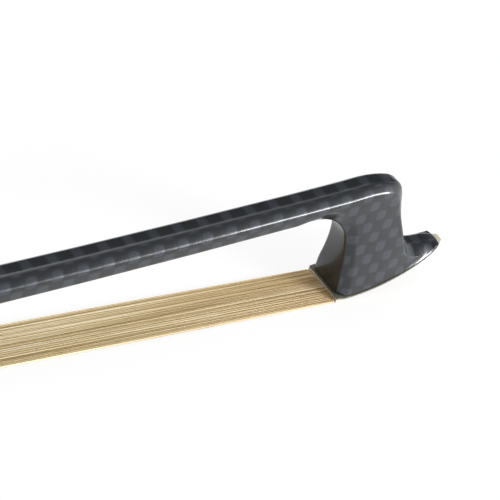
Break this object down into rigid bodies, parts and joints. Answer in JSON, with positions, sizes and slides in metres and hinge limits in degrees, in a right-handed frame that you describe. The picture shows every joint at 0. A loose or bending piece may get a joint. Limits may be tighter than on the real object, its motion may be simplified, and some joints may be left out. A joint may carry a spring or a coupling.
{
  "type": "violin bow",
  "caption": "Violin bow with a cambered octagonal carbon stick, hatchet head, hair ribbon, frog with pearl slide and ferrule, and a screw button that tightens the hair.",
  "frame": {"origin": "under the middle of the bow's length and width, on the plane that the tip plate and the ferrule touch with the hair down", "axes": "+X from the button to the tip, +Y across the hair, +Z from the hair to the stick"},
  "size_m": [0.7416, 0.0126, 0.032],
  "materials": {
    "moulded_carbon": "glossy clear-coated carbon fibre",
    "bone": "polished bone-like plate",
    "grey_liner": "satin",
    "maple": "plain",
    "bound_hair": "bound with thread",
    "horsehair": "natural blond hair, combed flat",
    "ebony": "polished",
    "nickel_silver": "polished nickel silver",
    "mother_of_pearl": "polished",
    "brass": "machined",
    "steel": "machined",
    "black_leather": "fine grain",
    "silver_lapping": "wound flat strip"
  },
  "bodies": {
    "stick": {"stick": "moulded_carbon", "tip_plate": "bone", "tip_liner": "grey_liner", "head_plug": "maple", "head_hair_knot": "bound_hair", "hair_ribbon": "horsehair", "grip_winding": "silver_lapping", "thumb_leather": "black_leather", "butt_bushing": "brass"},
    "frog": {"frog_body": "ebony", "ferrule": "nickel_silver", "pearl_slide": "mother_of_pearl", "slide_base": "ebony", "heel_plate": "nickel_silver", "heel_pin_front": "nickel_silver", "heel_pin_rear": "nickel_silver", "heel_pin_back": "nickel_silver", "underslide": "nickel_silver", "pearl_eye_near": "mother_of_pearl", "pearl_eye_far": "mother_of_pearl", "eye_ring_near": "nickel_silver", "eye_ring_far": "nickel_silver", "frog_hair_knot": "bound_hair", "frog_plug": "maple", "spread_wedge": "maple", "eyelet": "brass"},
    "button": {"adjusting_screw": "steel", "button_core": "ebony", "button_front_ring": "nickel_silver", "button_rear_ring": "nickel_silver", "button_pearl": "mother_of_pearl"}
  },
  "joints": [
    {"name": "button_turn", "type": "hinge", "parent": "stick", "child": "button", "pos_m": [-0.30193, 0, 0.02356], "axis": [0.9983, 0, -0.0575], "range_deg": [0, 2880]},
    {"name": "frog_slide", "type": "slide", "parent": "stick", "child": "frog", "axis": [-0.9983, 0, 0.0575], "range_m": [0, 0.0056], "deforming": ["hair_ribbon"]}
  ],
  "couplings": [
    {"joint": "button_turn", "follows": "frog_slide", "rad_per_m": 8975.9}
  ]
}
